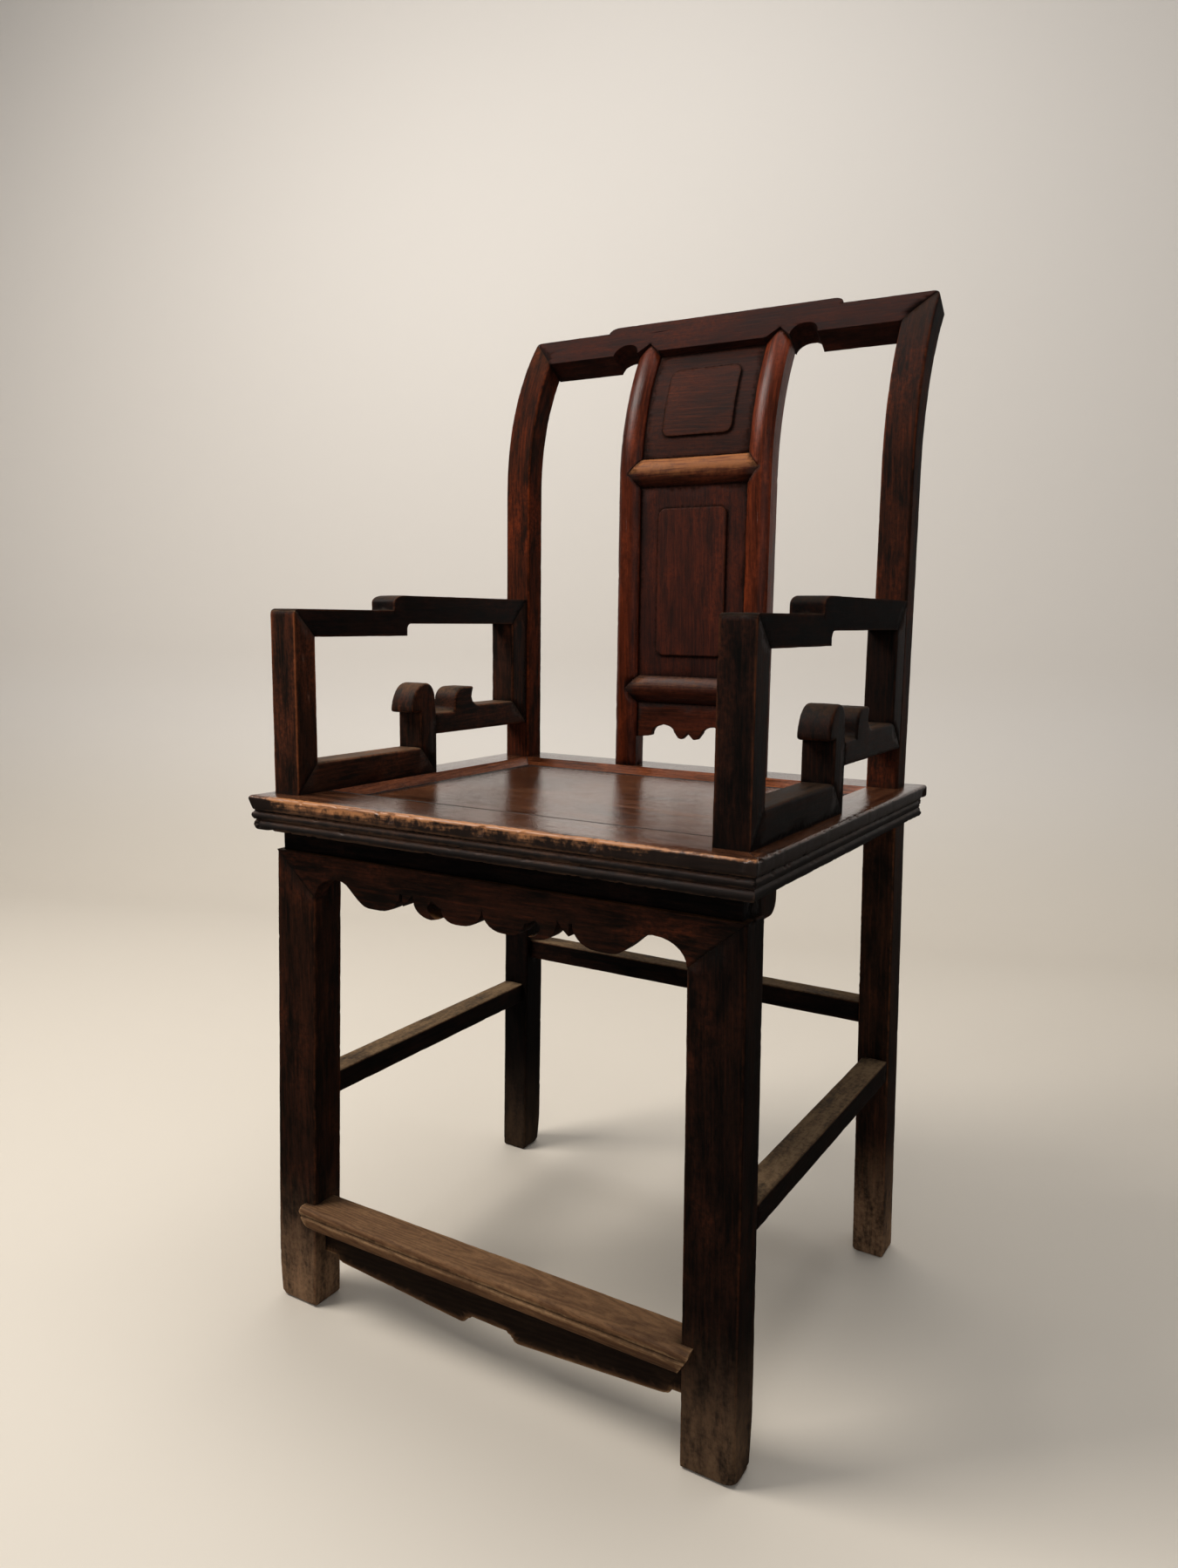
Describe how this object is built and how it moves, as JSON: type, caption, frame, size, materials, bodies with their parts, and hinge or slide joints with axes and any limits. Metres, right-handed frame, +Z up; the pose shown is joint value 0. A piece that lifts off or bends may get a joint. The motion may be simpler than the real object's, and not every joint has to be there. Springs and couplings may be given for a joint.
{
  "type": "taishi chair",
  "caption": "Framed hardwood armchair with a scrolled, stepped arm fret, a bent back with a panelled splat, a moulded seat frame, a scalloped apron and a footrest.",
  "frame": {"origin": "on the floor, under the middle of the chair's bounding box", "axes": "+X to the viewer's right, +Y toward the back of the chair, +Z up; the seat's front edge faces -Y"},
  "size_m": [0.535, 0.51, 1.0567],
  "materials": {
    "frame_wood": "dark lacquer, worn",
    "back_wood": "reddish satin lacquer",
    "seat_wood": "glossy, worn edges",
    "foot_wood": "worn, dusty"
  },
  "bodies": {
    "root": {"leg_front_left": "frame_wood", "leg_front_right": "frame_wood", "leg_back_left": "frame_wood", "leg_back_right": "frame_wood", "waist_front": "frame_wood", "apron_front": "frame_wood", "bracket_left": "frame_wood", "bracket_right": "frame_wood", "stretcher_left": "frame_wood", "stretcher_right": "frame_wood", "stretcher_back": "frame_wood", "post_left": "frame_wood", "post_right": "frame_wood", "batten_left": "frame_wood", "batten_right": "frame_wood", "arm_left_post": "frame_wood", "arm_left_rail": "frame_wood", "arm_left_stile": "frame_wood", "arm_left_low_rail": "frame_wood", "arm_left_scroll": "frame_wood", "arm_left_foot": "frame_wood", "arm_right_post": "frame_wood", "arm_right_rail": "frame_wood", "arm_right_stile": "frame_wood", "arm_right_low_rail": "frame_wood", "arm_right_scroll": "frame_wood", "arm_right_foot": "frame_wood", "top_rail": "back_wood", "splat_stile_left": "back_wood", "splat_stile_right": "back_wood", "cross_rail_upper": "back_wood", "cross_rail_lower": "back_wood", "panel_upper": "back_wood", "panel_middle": "back_wood", "splat_skirt": "back_wood", "seat_rail_front": "seat_wood", "seat_rail_back": "seat_wood", "seat_rail_left": "seat_wood", "seat_rail_right": "seat_wood", "seat_panel": "seat_wood", "footrest": "foot_wood", "footrest_strip": "foot_wood"}
  },
  "joints": []
}
